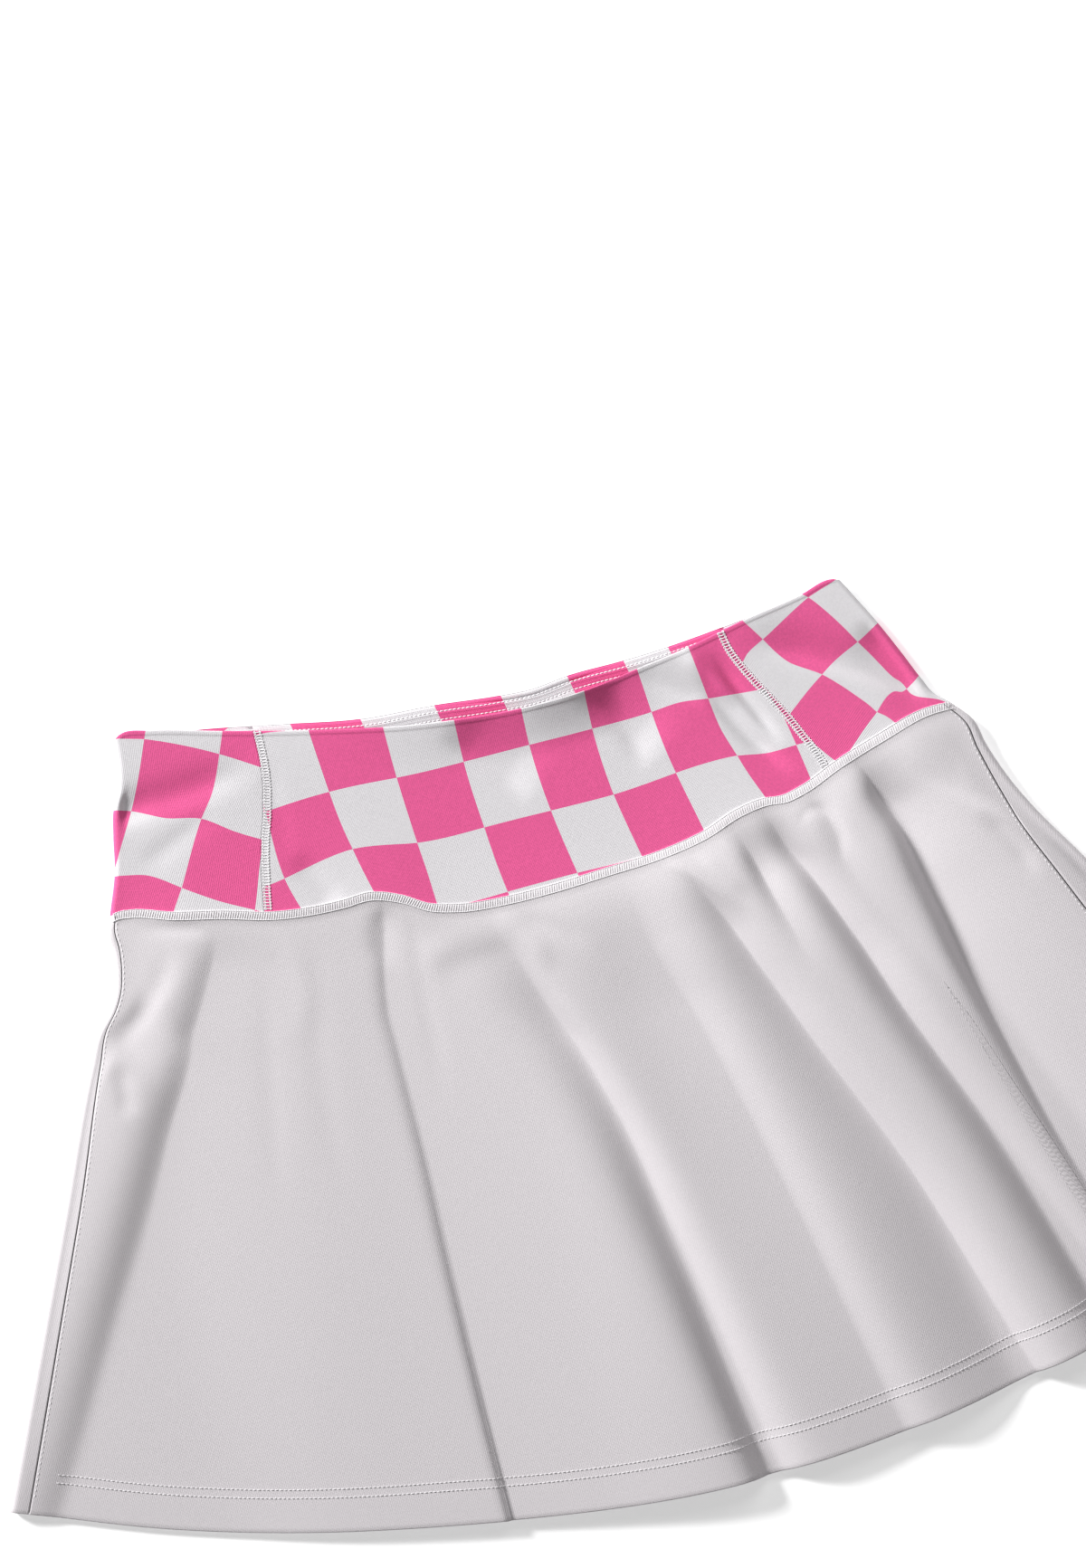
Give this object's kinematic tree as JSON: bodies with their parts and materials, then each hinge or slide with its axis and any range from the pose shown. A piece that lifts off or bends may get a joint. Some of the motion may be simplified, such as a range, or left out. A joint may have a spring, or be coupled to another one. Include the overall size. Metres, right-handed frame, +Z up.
{
  "type": "a-line skirt",
  "caption": "Flared knit skirt with a wide contoured waist yoke in a checkerboard print, laid flat on its back with its front up.",
  "frame": {"origin": "middle of the underside of the laid garment's box", "axes": "+Z up from the surface that the garment lies on, towards its front; +Y from the hem towards the waist; +X across it, towards the right of the picture"},
  "size_m": [0.6558, 0.414, 0.0135],
  "materials": {
    "checked_knit": "matte two-ply knit, printed with pink and off-white checks",
    "skirt_knit": "smooth matte knit in pale warm grey",
    "seam_thread": "soft off-white stretch sewing thread"
  },
  "bodies": {
    "root": {"front_yoke": "checked_knit", "left_side_yoke": "checked_knit", "right_side_yoke": "checked_knit", "back_yoke": "checked_knit", "back_facing": "checked_knit", "front_skirt": "skirt_knit", "back_skirt": "skirt_knit"}
  },
  "joints": []
}
